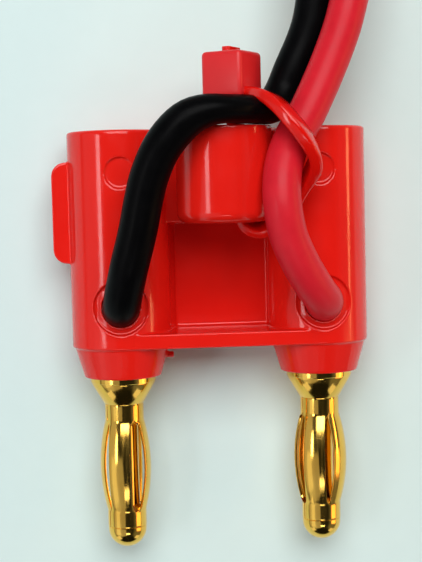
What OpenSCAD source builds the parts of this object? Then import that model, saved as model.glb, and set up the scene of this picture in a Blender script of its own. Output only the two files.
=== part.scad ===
// Dual banana plug with two soft leads and a cable tie, lying on its flat back.
// X runs from the negative to the positive plug, Y from the plug tips to the leads, Z up.
// The origin is the middle of the flat back of the moulded body.

/* [Housing] */
// Distance between the two plug axes
plug_pitch = 19.05; // [17:0.05:22]
// Diameter of each round boss
boss_d = 9.5; // [8.6:0.1:11]
// Height of the bosses along the plug axis
body_h = 20.5; // [18:0.5:26]
// How much the flat back cuts into the bosses
back_flat = 0.15; // [0.05:0.05:0.5]
// Rounding of the boss top edges
top_edge_r = 0.3; // [0.1:0.05:0.6]
// Thickness of the web behind the pocket
web_t = 2.0; // [1.2:0.1:3]
// Height of the bridge between the bosses, above the back
bridge_t = 6.2; // [4:0.1:7]
// Thickness of the wall below the pocket
wall_t = 1.4; // [0.8:0.1:2.5]
// How far that wall stays behind the boss fronts
wall_inset = 0.15; // [0.05:0.05:0.6]
// Width of the pocket at its floor
pocket_w = 9.0; // [7.5:0.1:9.4]
// How far each side of the pocket leans outwards
side_lean = 0.9; // [0.2:0.1:1.5]
// Height of those sides above the plug axes
side_rise = 1.4; // [0.5:0.1:2.5]
// Sideways shift of the pocket and the tie guide
middle_shift = 0.35; // [-0.5:0.05:0.5]

/* [Tapered noses] */
// Length of each tapered nose
nose_len = 2.95; // [2:0.05:5]
// Diameter of a nose where it starts
nose_base_d = 9.1; // [8.2:0.1:9.3]
// Diameter of a nose at its end
nose_end_d = 7.4; // [6.8:0.1:8.2]
// Diameter of the gate stub beside the negative nose
gate_d = 0.6; // [0.3:0.1:1.2]
// How far the gate stub stands out of the nose
gate_len = 0.7; // [0.2:0.1:1.2]
// How far the gate stub is below the body
gate_drop = 1.05; // [0.6:0.05:2]

/* [Tie guide] */
// Outer diameter of the guide for the cable tie
guide_d = 8.9; // [7.6:0.1:9.6]
// Bore of the guide
guide_bore_d = 6.0; // [4.5:0.1:6.6]
// Length of the guide, down from the body's top
guide_len = 8.8; // [6:0.1:11]
// Height of the guide's axis above the plug axes
guide_rise = 5.0; // [4.4:0.1:6]
// Rounding of the guide's lower edge
guide_edge_r = 1.0; // [0.3:0.1:1.3]

/* [Wire entries and moulding marks] */
// Diameter of the recess round each wire entry
entry_d = 5.1; // [4.8:0.1:6]
// Depth of that recess below the front of the boss
entry_depth = 0.9; // [0.8:0.1:1.3]
// Radial clearance of a lead in its wire entry
entry_clear = 0.05; // [0.05:0.05:0.4]
// Height of the wire entries above the body's lower edge
entry_h = 3.95; // [3:0.05:6]
// Distance between the two ejector marks
mark_pitch = 18.55; // [17:0.05:19.05]
// Diameter of the ejector marks
mark_d = 2.9; // [1.5:0.1:4]
// Depth of the ejector marks
mark_depth = 0.3; // [0.1:0.05:0.6]
// Height of the ejector marks above the body's lower edge
mark_h = 16.5; // [12:0.1:18]
// How far the polarity tab stands out
tab_out = 1.5; // [0.8:0.1:3]
// Length of the polarity tab
tab_len = 9.6; // [5:0.1:14]
// Thickness of the polarity tab
tab_t = 2.4; // [1:0.1:4]
// Height of the tab's middle above the body's lower edge
tab_h = 12.85; // [8:0.05:14]
// Corner radius of the polarity tab
tab_corner_r = 1.3; // [0.3:0.1:1.4]

/* [Contacts] */
// Outer diameter of the contact barrel in the boss
barrel_d = 6.3; // [5.6:0.1:6.4]
// Radial clearance of the barrel in the housing
barrel_clear = 0.03; // [0.01:0.01:0.1]
// How far the barrel stays below the body's top
barrel_recess = 1.2; // [0.6:0.1:3]
// Diameter of the 4 mm class socket in the barrel
socket_d = 4.1; // [4.02:0.02:4.3]
// Diameter of the hole in the housing above the socket
mouth_d = 4.6; // [4.4:0.1:5.4]
// Height of the bare barrel rim below the nose
rim_len = 0.6; // [0.3:0.05:1.5]
// Length of the cone below the rim
cone_len = 2.05; // [1.2:0.05:3.5]
// Diameter of the waist inside the spring
core_d = 2.5; // [1.8:0.1:2.9]
// Diameter of the rounded plug tip
tip_d = 3.7; // [3.4:0.1:3.9]
// Straight part of the tip before its rounding
tip_straight = 0.3; // [0.1:0.05:1]
// Angle of the tip's rounding, which leaves a small flat end
tip_arc = 80; // [60:1:88]
// Length of the taper at each end of the waist
core_taper = 0.5; // [0.2:0.1:1.5]
// Small step at both ends of the cone
rim_step = 0.08; // [0.04:0.01:0.2]
// Chamfer at the socket's mouth
mouth_chamfer = 0.3; // [0.1:0.05:0.5]

/* [Contact springs] */
// Outer diameter of the spring's end bands
band_d = 3.75; // [3.4:0.05:3.9]
// Sheet thickness of the spring
sheet_t = 0.25; // [0.15:0.05:0.35]
// Radial clearance of the bands on the contact
band_clear = 0.03; // [0.01:0.01:0.1]
// Length of the upper band
upper_band_len = 1.65; // [1:0.05:3]
// Length of the sprung leaves
leaf_len = 8.75; // [6:0.05:12]
// Length of the lower band
lower_band_len = 1.55; // [1:0.05:3]
// Width of a leaf
leaf_w = 2.1; // [1.2:0.1:2.4]
// Diameter over the leaves of the negative plug
negative_bulge_d = 4.9; // [4.2:0.05:5.4]
// Diameter over the leaves of the positive plug
positive_bulge_d = 5.1; // [4.2:0.05:5.4]
// Turn of the negative spring about its axis
negative_turn = -16; // [-45:1:45]
// Turn of the positive spring about its axis
positive_turn = -32; // [-45:1:45]
// Width of the seam in the bands
seam_w = 0.12; // [0.05:0.01:0.3]

/* [Wire clamps] */
// Diameter of the clamp screw
screw_d = 3.5; // [2.5:0.1:3.8]
// Length of the clamp screw
screw_len = 3.2; // [2.5:0.1:5]
// Width across flats of its hexagon socket
hex_w = 1.6; // [1.2:0.1:2]
// Depth of the hexagon socket
hex_depth = 1.6; // [0.8:0.1:2]
// Radial clearance of the screw in its thread
thread_clear = 0.03; // [0.01:0.01:0.1]
// Chamfer at the screw's point
screw_point = 0.5; // [0.2:0.1:1]
// Gap between the screw and the socket's floor
screw_room = 0.3; // [0.1:0.1:1]
// Diameter of the twisted conductor
conductor_d = 1.9; // [1.2:0.1:2.2]
// Clearance of the conductor in its cross hole
conductor_clear = 0.15; // [0.05:0.05:0.3]
// How far the conductor reaches past the plug axis
conductor_past = 1.6; // [1:0.1:2]
// How far the cross hole runs past the conductor
cross_past = 0.2; // [0.1:0.1:0.5]

/* [Leads] */
// Outside diameter of the soft insulation
lead_d = 3.5; // [2.5:0.1:4]
// Gap between the insulation and the barrel
strip_gap = 0.15; // [0.05:0.05:0.5]

/* [Cable tie] */
// Width of the strap
strap_w = 2.3; // [2:0.1:3.6]
// Thickness of the strap
strap_t = 0.8; // [0.8:0.1:1.4]
// Width of the head across the strap's root
head_w = 4.3; // [3.6:0.1:5.5]
// Depth of the head along the strap's root
head_l = 4.1; // [3.4:0.1:5.5]
// Height of the head along its slot
head_h = 3.9; // [2.6:0.1:4.5]
// Chamfer on the upright edges of the head
head_chamfer = 0.5; // [0.2:0.1:0.9]
// Clearance of the strap in the slot
slot_clear = 0.15; // [0.05:0.05:0.4]
// How far the cut tail stands out of the head
tail_out = 0.45; // [0.2:0.05:2]
// How far the strap's root reaches up into the head
root_in = 0.65; // [0.4:0.05:1.2]

/* [Lead coil] */
// Sideways place of the coil's middle
coil_x = -8.4; // [-12:0.1:-4]
// How far the coil's middle lies behind the plug's middle
coil_y = 60; // [60:0.5:80]
// Middle radius of the inner lead's turns
coil_r = 18.25; // [16:0.25:26]
// Layers of turns in the coil
coil_layers = 2; // [1:1:3]
// Gap between one lead's turns and the other's
coil_gap = 0.1; // [0.05:0.05:0.3]
// Thickness of the band round the coil
coil_tie_t = 0.5; // [0.3:0.1:1]
// Width of that band
coil_tie_w = 3; // [2:0.5:6]
// Gap between the band and the turns
coil_tie_gap = 0.1; // [0.05:0.05:0.3]

/* [Hidden] */
$fn = 64;

moulded_red = "#d8201a";
gold = "#d9ab3f";
blackened_steel = "#4a4a4c";
tinned_copper = "#c9c4b8";
nylon_red = "#d92a2e";
silicone_black = "#1b1b1c";
silicone_red = "#cf2c3c";

// Overlap of joined shapes, and how far a cut runs past a surface
eps = 0.01;
over = 1;
// Steps of the small roundings, of the leaves' bow and of the strap, and sides of a lead
arc_steps = 6;
bow_steps = 12;
strap_steps = 3;
lead_sides = 12;

negative_x = -plug_pitch / 2;
positive_x = plug_pitch / 2;
boss_r = boss_d / 2;
axis_z = boss_r - back_flat;
body_top = body_h / 2;
body_low = -body_h / 2;
nose_end = body_low - nose_len;
entry_y = body_low + entry_h;

// Pocket between the bosses: straight floor, leaning sides that die into the bosses
pocket_floor_z = web_t;
pocket_left = middle_shift - pocket_w / 2;
pocket_right = middle_shift + pocket_w / 2;
side_top_z = axis_z + side_rise;

// Guide for the cable tie, in front of the bridge
guide_low = body_top - guide_len;
guide_z = axis_z + guide_rise;

// Contact levels along Y, from the barrel's top to the plug's tip
barrel_top = body_top - barrel_recess;
rim_low = nose_end - rim_len;
cone_low = rim_low - cone_len;
leaf_top = cone_low - upper_band_len;
leaf_low = leaf_top - leaf_len;
tip_top = leaf_low - lower_band_len;
tip_low = tip_top - tip_straight - tip_d / 2;
land_r = band_d / 2 - sheet_t - band_clear;
thread_r = screw_d / 2 + thread_clear;
cross_r = conductor_d / 2 + conductor_clear;
screw_low = entry_y + conductor_d / 2 + thread_clear;
screw_top = screw_low + screw_len;
socket_floor = screw_top + screw_room;
conductor_back = axis_z - conductor_past;
insulation_z = axis_z + barrel_d / 2 + strip_gap;

// Coil of the leads on the floor, beyond the plug
coil_lift = coil_tie_t + coil_tie_gap;
coil_center = [coil_x, coil_y];
coil_inner = coil_r - lead_d / 2;
coil_step = lead_d + coil_gap;
coil_outer = coil_r + coil_step + lead_d / 2;
coil_h = coil_layers * lead_d;
floor_turn_z = coil_lift + lead_d / 2;
negative_run_x = coil_center[0] + coil_r;
positive_run_x = coil_center[0] + coil_r + coil_step;

// Each point is [x, y, z, flattening of the section along Y]. Behind the body both leads stay above the
// socket axes, so that a plug can be stacked there, and then come down to the coil
negative_route = [
    [negative_x, entry_y, insulation_z, 1], [negative_x, entry_y, 8.6, 1], [negative_x, entry_y, 9.3, 1],
    [-9.4, -5.8, 10.6, 1], [-9.2, -4.7, 11.6, 1], [-8.9, -3.4, 12.4, 1], [-8.6, -2.1, 13.0, 1],
    [-7.8, 0.9, 13.6, 1], [-7.2, 3.7, 14.0, 1], [-6.6, 5.9, 14.4, 1], [-5.6, 8.1, 14.8, 1],
    [-4.3, 9.8, 15.0, 1], [-2.9, 10.95, 15.1, 0.93], [-1.3, 11.5, 15.0, 0.82], [0.3, 11.6, 14.6, 0.74],
    [2.0, 11.6, 13.6, 0.74], [3.5, 11.6, 11.7, 0.74], [4.85, 11.85, 9.3, 0.76], [6.1, 13.4, 8.2, 0.92],
    [7.1, 15.6, 8.2, 1], [8.2, 17.95, 8.2, 1], [8.9, 20, 8.3, 1], [9.3, 22.5, 8.4, 1], [9.6, 27, 8.4, 1],
    [9.8, 32, 7.0, 1], [negative_run_x, 37, 4.1, 1], [negative_run_x, 42, floor_turn_z, 1],
    [negative_run_x, coil_y - 10, floor_turn_z, 1], [negative_run_x, coil_y - 5, floor_turn_z, 1],
    [negative_run_x, coil_y, floor_turn_z, 1]
];
positive_route = [
    [positive_x, entry_y, insulation_z, 1], [positive_x, entry_y, 8.6, 1], [positive_x, entry_y, 9.3, 1],
    [9.3, -5.9, 10.5, 1], [8.6, -5.1, 11.6, 1], [7.7, -3.8, 12.6, 1], [6.7, -2.1, 13.4, 1],
    [5.7, 0.2, 14.0, 1], [5.2, 2.8, 14.3, 1], [5.2, 5.0, 13.9, 1], [5.6, 7.0, 13.2, 1],
    [6.5, 9.0, 12.3, 1], [7.8, 11.1, 11.7, 1], [9.05, 13.5, 11.2, 1], [10.2, 16, 10.9, 1],
    [11.2, 18.5, 10.8, 1], [11.85, 20.6, 10.7, 1], [12.5, 23.2, 10.3, 1], [13.2, 27, 9.2, 1],
    [13.4, 32, 7.2, 1], [positive_run_x, 37, 4.4, 1], [positive_run_x, 42, 2.6, 1],
    [positive_run_x, coil_y - 10, floor_turn_z, 1], [positive_run_x, coil_y - 5, floor_turn_z, 1],
    [positive_run_x, coil_y, floor_turn_z, 1]
];

// Tie head: its middle, its turn about Y, the end of the strap's root in it, and the strap's way round the leads
head_mid = [1.2, 15.0, 10.5];
head_turn = -33;
root_end = head_mid + [1.3, root_in - head_h / 2, 1.1];
strap_across = [sin(head_turn), 0, cos(head_turn)];
strap_route = [
    head_mid + [0, head_h / 2 + tail_out, 0], head_mid - [0, head_h / 2 + tail_out, 0],
    [1.5, 10.4, 10.2], [1.85, 7.0, 9.9], [1.95, 3.6, 9.85], [1.95, 2.1, 9.85], [2.5, 1.08, 9.85],
    [3.6, 0.72, 9.85], [4.7, 1.1, 10.0], [5.6, 1.65, 10.2], [6.5, 2.45, 10.6], [7.3, 3.35, 11.2],
    [7.85, 4.45, 12.0], [8.15, 5.6, 12.95], [8.15, 6.5, 13.8], [7.9, 7.3, 14.5], [7.3, 8.2, 15.1],
    [6.54, 9.4, 15.4], [5.8, 10.5, 15.3], [5.2, 11.5, 14.9],
    root_end + [1.7, -0.9, 2.3], root_end + [0.8, -0.2, 1.0], root_end
];

// Smooth curve through a list of points
function catmull(a, b, c, d, t) =
    0.5 * (2 * b + (c - a) * t + (2 * a - 5 * b + 4 * c - d) * t * t + (3 * b - a - 3 * c + d) * t * t * t);
function smooth_route(p, steps) = let (last = len(p) - 1) [
    for (i = [0 : last - 1], s = [0 : steps - 1])
        catmull(p[max(i - 1, 0)], p[i], p[i + 1], p[min(i + 2, last)], s / steps),
    p[last]
];
function place(q) = [q[0], q[1], q[2]];
function unit(v) = v / norm(v);
function heading(p, i) = unit(place(p[min(i + 1, len(p) - 1)]) - place(p[max(i - 1, 0)]));
function squared_to(v, t) = unit(v - (v * t) * t);

// Rings of points along a route: round for the leads, four-cornered for the strap
function round_rings(p, r, sides) = [
    for (i = [0 : len(p) - 1])
        let (t = heading(p, i), u = squared_to([1, 0, 1], t), v = cross(t, u))
        [for (k = [0 : sides - 1])
            let (a = 360 * k / sides, o = r * (cos(a) * u + sin(a) * v))
            place(p[i]) + [o[0], o[1] * p[i][3], o[2]]]
];
function strap_rings(p, across, w, t) = [
    for (i = [0 : len(p) - 1])
        let (h = heading(p, i), u = squared_to(across, h), v = cross(h, u))
        [for (c = [[1, 1], [-1, 1], [-1, -1], [1, -1]]) place(p[i]) + c[0] * w / 2 * u + c[1] * t / 2 * v]
];

// One closed skin over a list of rings
module skin(rings) {
    sides = len(rings[0]);
    last = len(rings) - 1;
    polyhedron(
        points = [for (r = rings, q = r) q],
        faces = concat(
            [[for (k = [0 : sides - 1]) k]],
            [for (i = [0 : last - 1], k = [0 : sides - 1])
                let (a = i * sides + k, b = i * sides + (k + 1) % sides)
                [a, a + sides, b + sides, b]],
            [[for (k = [sides - 1 : -1 : 0]) last * sides + k]]
        ),
        convexity = 10
    );
}

// Puts a shape drawn round its own Z axis on a plug axis, with that Z along Y
module on_plug_axis(x, z = axis_z) {
    translate([x, 0, z]) rotate([-90, 0, 0]) children();
}

// Extrudes an outline drawn in X and Z from one level of Y to another
module along_y(low, high) {
    translate([0, high, 0]) rotate([90, 0, 0]) linear_extrude(high - low) children();
}

function arc(center, r, from, to, steps = arc_steps) =
    [for (s = [0 : steps]) let (a = from + (to - from) * s / steps) center + r * [cos(a), sin(a)]];

// Boss with its tapered nose, as one turned outline
module boss(x) {
    on_plug_axis(x) rotate_extrude() polygon(concat(
        [[0, nose_end], [nose_end_d / 2, nose_end], [nose_base_d / 2, body_low], [boss_r, body_low]],
        arc([boss_r - top_edge_r, body_top - top_edge_r], top_edge_r, 0, 90),
        [[0, body_top]]
    ));
}

// Web, pocket sides, bridge and lower wall, all below the bosses' front
module middle() {
    along_y(body_low, body_top) polygon([
        [negative_x, -over], [positive_x, -over], [positive_x, side_top_z],
        [pocket_right + side_lean, side_top_z], [pocket_right, pocket_floor_z],
        [pocket_left, pocket_floor_z], [pocket_left - side_lean, side_top_z], [negative_x, side_top_z]
    ]);
    along_y(guide_low, body_top)
        translate([negative_x, -over]) square([plug_pitch, bridge_t + over]);
    along_y(body_low, body_low + wall_t)
        translate([negative_x, -over]) square([plug_pitch, axis_z + boss_r - wall_inset + over]);
}

module tie_guide() {
    guide_r = guide_d / 2;
    on_plug_axis(middle_shift, guide_z) rotate_extrude() polygon(concat(
        [[0, guide_low]],
        arc([guide_r - guide_edge_r, guide_low + guide_edge_r], guide_edge_r, -90, 0),
        [[guide_r, body_top], [0, body_top]]
    ));
}

module polarity_tab() {
    outer = negative_x - boss_r - tab_out;
    low = body_low + tab_h - tab_len / 2;
    high = low + tab_len;
    translate([0, 0, axis_z - tab_t / 2]) linear_extrude(tab_t) polygon(concat(
        [[negative_x - boss_r / 2, low]],
        arc([outer + tab_corner_r, low + tab_corner_r], tab_corner_r, -90, -180),
        arc([outer + tab_corner_r, high - tab_corner_r], tab_corner_r, 180, 90),
        [[negative_x - boss_r / 2, high]]
    ));
}

module gate_stub() {
    nose_d_there = nose_base_d + (nose_end_d - nose_base_d) * gate_drop / nose_len;
    translate([negative_x, body_low - gate_drop, axis_z]) rotate([0, 90, 0])
        cylinder(d = gate_d, h = nose_d_there / 2 + gate_len);
}

// Room for the contact, the wire entry and the ejector mark of one boss
module boss_cuts(x) {
    on_plug_axis(x) {
        translate([0, 0, nose_end - over])
            cylinder(d = barrel_d + 2 * barrel_clear, h = barrel_top - nose_end + over);
        cylinder(d = mouth_d, h = body_top + over);
    }
    translate([x, entry_y, axis_z + boss_r - entry_depth]) cylinder(d = entry_d, h = entry_depth + over);
    translate([x, entry_y, axis_z]) cylinder(d = lead_d + 2 * entry_clear, h = boss_r);
    translate([x * mark_pitch / plug_pitch, body_low + mark_h, axis_z + boss_r - mark_depth])
        cylinder(d = mark_d, h = over);
}

module housing() {
    room = 2 * plug_pitch;
    color(moulded_red) difference() {
        union() {
            boss(negative_x);
            boss(positive_x);
            middle();
            tie_guide();
            polarity_tab();
            gate_stub();
        }
        boss_cuts(negative_x);
        boss_cuts(positive_x);
        on_plug_axis(middle_shift, guide_z)
            translate([0, 0, guide_low - over]) cylinder(d = guide_bore_d, h = guide_len + 2 * over);
        translate([-room, -room, -room]) cube([2 * room, 2 * room, room]);
    }
}

// One turned piece: socket barrel, rim, cone, spring seat and rounded tip, with a cross hole for the wire
module contact(x) {
    barrel_r = barrel_d / 2;
    socket_r = socket_d / 2;
    color(gold) difference() {
        on_plug_axis(x) rotate_extrude() polygon(concat(
            [[0, tip_low]],
            arc([0, tip_low + tip_d / 2], tip_d / 2, -tip_arc, 0, 2 * arc_steps),
            [
                [tip_d / 2, tip_top], [land_r, tip_top], [land_r, leaf_low],
                [core_d / 2, leaf_low + core_taper], [core_d / 2, leaf_top - core_taper],
                [land_r, leaf_top], [land_r, cone_low], [band_d / 2 + rim_step, cone_low],
                [barrel_r - rim_step, rim_low], [barrel_r - rim_step, rim_low + rim_step],
                [barrel_r, rim_low + rim_step], [barrel_r, barrel_top],
                [socket_r + mouth_chamfer, barrel_top],
                [socket_r, barrel_top - mouth_chamfer], [socket_r, socket_floor], [thread_r, socket_floor],
                [thread_r, entry_y], [0, entry_y]
            ]
        ));
        translate([x, entry_y, conductor_back - cross_past]) cylinder(r = cross_r, h = boss_d);
    }
}

// Rolled sheet sleeve: two end bands with a seam, and four leaves bowed outwards between windows
module contact_spring(x, bulge_d, turn) {
    band_r = band_d / 2;
    bow = bulge_d / 2 - band_r;
    bowed = [for (s = [0 : bow_steps]) let (t = s / bow_steps)
        [band_r + 4 * bow * t * (1 - t), leaf_low + leaf_len * t]];
    outer = concat([[band_r, tip_top]], bowed, [[band_r, cone_low]]);
    inner = [for (i = [len(outer) - 1 : -1 : 0]) outer[i] - [sheet_t, 0]];
    color(gold) on_plug_axis(x) rotate([0, 0, turn - 90]) difference() {
        rotate_extrude() polygon(concat(outer, inner));
        for (k = [0 : 3]) rotate([0, 0, 90 * k])
            translate([leaf_w / 2, leaf_w / 2, leaf_low]) cube([bulge_d, bulge_d, leaf_len]);
        rotate([0, 0, -45]) translate([0, -seam_w / 2, tip_top - over])
            cube([bulge_d, seam_w, cone_low - tip_top + 2 * over]);
    }
}

// Socket set screw that clamps the conductor from above
module clamp_screw(x) {
    color(blackened_steel) on_plug_axis(x) difference() {
        rotate_extrude() polygon([
            [0, screw_low], [screw_d / 2 - screw_point, screw_low], [screw_d / 2, screw_low + screw_point],
            [screw_d / 2, screw_top], [0, screw_top]
        ]);
        translate([0, 0, screw_top - hex_depth]) cylinder(d = hex_w / cos(30), h = hex_depth + over, $fn = 6);
    }
}

// Stripped and twisted wire end inside the contact
module conductor(x) {
    color(tinned_copper) translate([x, entry_y, conductor_back])
        cylinder(d = conductor_d, h = insulation_z - conductor_back);
}

module lead(route) {
    skin(round_rings(route, lead_d / 2, lead_sides));
}

// Moulded in one piece: head with its slot, and the strap looped back through it
module cable_tie() {
    head_outline = [
        [-head_l / 2 + head_chamfer, -head_w / 2], [head_l / 2 - head_chamfer, -head_w / 2],
        [head_l / 2, -head_w / 2 + head_chamfer], [head_l / 2, head_w / 2 - head_chamfer],
        [head_l / 2 - head_chamfer, head_w / 2], [-head_l / 2 + head_chamfer, head_w / 2],
        [-head_l / 2, head_w / 2 - head_chamfer], [-head_l / 2, -head_w / 2 + head_chamfer]
    ];
    slot = [strap_t + 2 * slot_clear, strap_w + 2 * slot_clear];
    color(nylon_red) union() {
        translate(head_mid) rotate([0, head_turn, 0]) along_y(-head_h / 2, head_h / 2) difference() {
            polygon(head_outline);
            square(slot, center = true);
        }
        skin(strap_rings(smooth_route(strap_route, strap_steps), strap_across, strap_w, strap_t));
    }
}

// Outer shape of one lead's turns, with room below for the straight runs that lead in
module coil_turns(mid_r) {
    inner = mid_r - lead_d / 2;
    outer = mid_r + lead_d / 2;
    corner = lead_d / 3;
    difference() {
        translate([coil_center[0], coil_center[1], coil_lift]) rotate_extrude() polygon(concat(
            arc([inner + corner, corner], corner, 270, 180),
            arc([inner + corner, coil_h - corner], corner, 180, 90),
            arc([outer - corner, coil_h - corner], corner, 90, 0),
            arc([outer - corner, corner], corner, 0, -90)
        ));
        translate([coil_center[0] + coil_inner - coil_gap, coil_center[1] - coil_outer, -over])
            cube([coil_outer - coil_inner + 2 * coil_gap, coil_outer, over + coil_lift + lead_d + coil_gap]);
    }
}

// Flat band round the coil, on its far side
module coil_tie() {
    inner = [coil_tie_w, coil_outer - coil_inner + 2 * coil_tie_gap, coil_h + 2 * coil_tie_gap];
    outer = inner + [0, 2 * coil_tie_t, 2 * coil_tie_t];
    mid = [coil_center[0], coil_center[1] + (coil_inner + coil_outer) / 2, coil_lift + coil_h / 2];
    color(nylon_red) translate(mid) difference() {
        cube(outer, center = true);
        cube(inner + [over, 0, 0], center = true);
    }
}

housing();
contact(negative_x);  // negative_contact
contact(positive_x);  // positive_contact
contact_spring(negative_x, negative_bulge_d, negative_turn);  // negative_spring
contact_spring(positive_x, positive_bulge_d, positive_turn);  // positive_spring
clamp_screw(negative_x);  // negative_clamp_screw
clamp_screw(positive_x);  // positive_clamp_screw
conductor(negative_x);  // negative_conductor
conductor(positive_x);  // positive_conductor
cable_tie();
color(silicone_black) lead(negative_route);  // negative_lead
color(silicone_red) lead(positive_route);  // positive_lead
color(silicone_black) coil_turns(coil_r);  // negative_coil
color(silicone_red) coil_turns(coil_r + coil_step);  // positive_coil
coil_tie();
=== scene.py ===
import math

import bpy
from mathutils import Matrix, Vector


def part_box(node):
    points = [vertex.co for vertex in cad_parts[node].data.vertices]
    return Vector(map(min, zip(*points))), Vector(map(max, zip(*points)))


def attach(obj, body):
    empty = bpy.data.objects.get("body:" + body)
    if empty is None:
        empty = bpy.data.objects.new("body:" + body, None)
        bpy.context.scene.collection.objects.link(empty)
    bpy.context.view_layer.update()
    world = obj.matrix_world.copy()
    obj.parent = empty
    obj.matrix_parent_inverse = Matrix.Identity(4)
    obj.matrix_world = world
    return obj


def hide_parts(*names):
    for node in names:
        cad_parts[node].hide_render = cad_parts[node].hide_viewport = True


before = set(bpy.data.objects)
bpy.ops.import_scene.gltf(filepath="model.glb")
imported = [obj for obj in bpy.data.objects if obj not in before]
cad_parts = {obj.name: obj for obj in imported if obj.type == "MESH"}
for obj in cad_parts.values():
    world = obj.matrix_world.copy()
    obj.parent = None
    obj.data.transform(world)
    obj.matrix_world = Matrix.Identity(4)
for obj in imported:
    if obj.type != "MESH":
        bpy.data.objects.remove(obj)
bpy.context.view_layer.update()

bl_info = {
    "name": "Dual Banana Plug",
    "version": (1, 0, 0),
    "blender": (4, 5, 0),
    "location": "View3D > Sidebar > Banana Plug",
    "description": "Dresses a dual banana plug with its leads and cable tie",
    "category": "Add Mesh",
}

MM = 0.001
BODY = "root"
# Longer side of the picture that the camera is fitted to, in pixels
IMAGE_H = 562
# Radians that the bands of a wave node turn over one unit at scale 1
WAVE_RADIANS = 20
# Sockets of a mix node, which share their names and so go by place
MIX_SHARE, MIX_FIRST, MIX_SECOND, MIX_COLOUR = 0, 6, 7, 2
# Steps of a smooth curve between two of its given points
CURVE_STEPS = 24


def hex_colour(code):
    """Linear colour of an sRGB hex value."""
    parts = [int(code[i:i + 2], 16) / 255 for i in (1, 3, 5)]
    return tuple(c / 12.92 if c <= 0.04045 else ((c + 0.055) / 1.055) ** 2.4 for c in parts)


def length(name, description, millimetres):
    return bpy.props.FloatProperty(
        name=name, description=description, default=millimetres * MM, unit="LENGTH", precision=5)


def colour(name, description, code):
    return bpy.props.FloatVectorProperty(
        name=name, description=description, default=hex_colour(code), subtype="COLOR", min=0, max=1)


# Places that come from the CAD nodes
def axis_of(node):
    low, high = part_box(node)
    return (low.x + high.x) / 2, (low.z + high.z) / 2


NEGATIVE_X, AXIS_Z = axis_of("negative_contact")
POSITIVE_X = axis_of("positive_contact")[0]
SIDES = {"negative": NEGATIVE_X, "positive": POSITIVE_X}
SPRING_LOW, SPRING_HIGH = (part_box("negative_spring")[i].y for i in (0, 1))
CONTACT_LOW, CONTACT_HIGH = (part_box("negative_contact")[i].y for i in (0, 1))
ENTRY_Y = (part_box("negative_conductor")[0].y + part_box("negative_conductor")[1].y) / 2
INSULATION_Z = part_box("negative_conductor")[1].z
COIL_LOW, COIL_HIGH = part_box("negative_coil")
COIL_CENTRE = (COIL_LOW + COIL_HIGH) / 2
# Front of the round bosses, which the housing's box doesn't give because its guide stands higher
BOSS_FRONT = 9.35 * MM


class PlugSizes(bpy.types.PropertyGroup):
    """Sizes of the pieces that are modelled here"""

    lead_d: length("Lead diameter", "Outside diameter of the silicone insulation", 3.5)
    lead_length: length("Lead length", "Real length of each lead", 250)
    coil_step: length("Coil step", "Distance between the two leads in the coil", 3.6)
    strip_length: length("Stripped length", "Tinned wire at the far end of each lead", 6)
    conductor_d: length("Conductor diameter", "Diameter of the twisted wire", 1.9)
    strap_w: length("Strap width", "Width of the cable tie's strap", 2.3)
    strap_t: length("Strap thickness", "Thickness of the cable tie's strap", 0.8)
    head_l: length("Tie head depth", "Depth of the tie's head along the strap's root", 4.1)
    head_h: length("Tie head height", "Height of the tie's head along its slot", 4.25)
    head_w: length("Tie head width", "Width of the tie's head", 4.3)
    head_round: length("Tie head rounding", "Rounding of the tie head's edges", 0.42)
    tie_band_t: length("Coil band thickness", "Thickness of the band round the coil", 0.5)
    edge_round: length("Moulded edge", "Grid of the moulded body, which rounds its edges", 0.09)
    barrel_r: length("Barrel radius", "Radius of the contact barrel", 3.15)
    rim_len: length("Rim", "Bare rim of the barrel below the nose", 0.6)
    cone_len: length("Cone", "Length of the cone below the rim", 2.05)
    core_r: length("Core radius", "Radius of the pin inside the spring", 1.25)
    land_r: length("Land radius", "Radius of the pin under the spring's bands", 1.595)
    tip_r: length("Tip radius", "Radius of the rounded pin tip", 1.85)
    band_r: length("Band radius", "Outer radius of the spring's bands", 1.875)
    sheet_t: length("Sheet", "Thickness of the spring's sheet", 0.25)
    upper_band: length("Upper band", "Length of the spring's upper band", 1.65)
    lower_band: length("Lower band", "Length of the spring's lower band", 1.55)
    leaf_w: length("Leaf width", "Width of each sprung leaf", 2.1)
    seam: length("Seam", "Gap in the rolled bands", 0.12)
    negative_bow: length("Negative bow", "How far the negative pin's leaves stand out", 0.575)
    positive_bow: length("Positive bow", "How far the positive pin's leaves stand out", 0.675)


class PlugColours(bpy.types.PropertyGroup):
    """Colours of the finishes"""

    abs_red: colour("Moulded red", "Body colour of the moulded housing", "#ec2218")
    abs_deep: colour("Deep red", "Where the moulded wall is thicker", "#e01a12")
    nylon_red: colour("Nylon red", "Cable tie's head and the band round the coil", "#e0262a")
    strap_red: colour("Strap red", "Cable tie's strap, which is thin and lets light through", "#e0140c")
    silicone_red: colour("Silicone red", "Positive lead", "#d3202e")
    silicone_black: colour("Silicone black", "Negative lead", "#040405")
    gold: colour("Gold plate", "Plating of the contacts", "#ffd469")
    gold_deep: colour("Deep gold", "Thinner or rubbed plating", "#edb345")
    steel: colour("Blackened steel", "Clamp screws", "#3a3a3d")
    tin: colour("Tin", "Tinned wire ends", "#c8c6c0")
    paper: colour("Floor", "Pale floor", "#dcf2f0")


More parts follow.
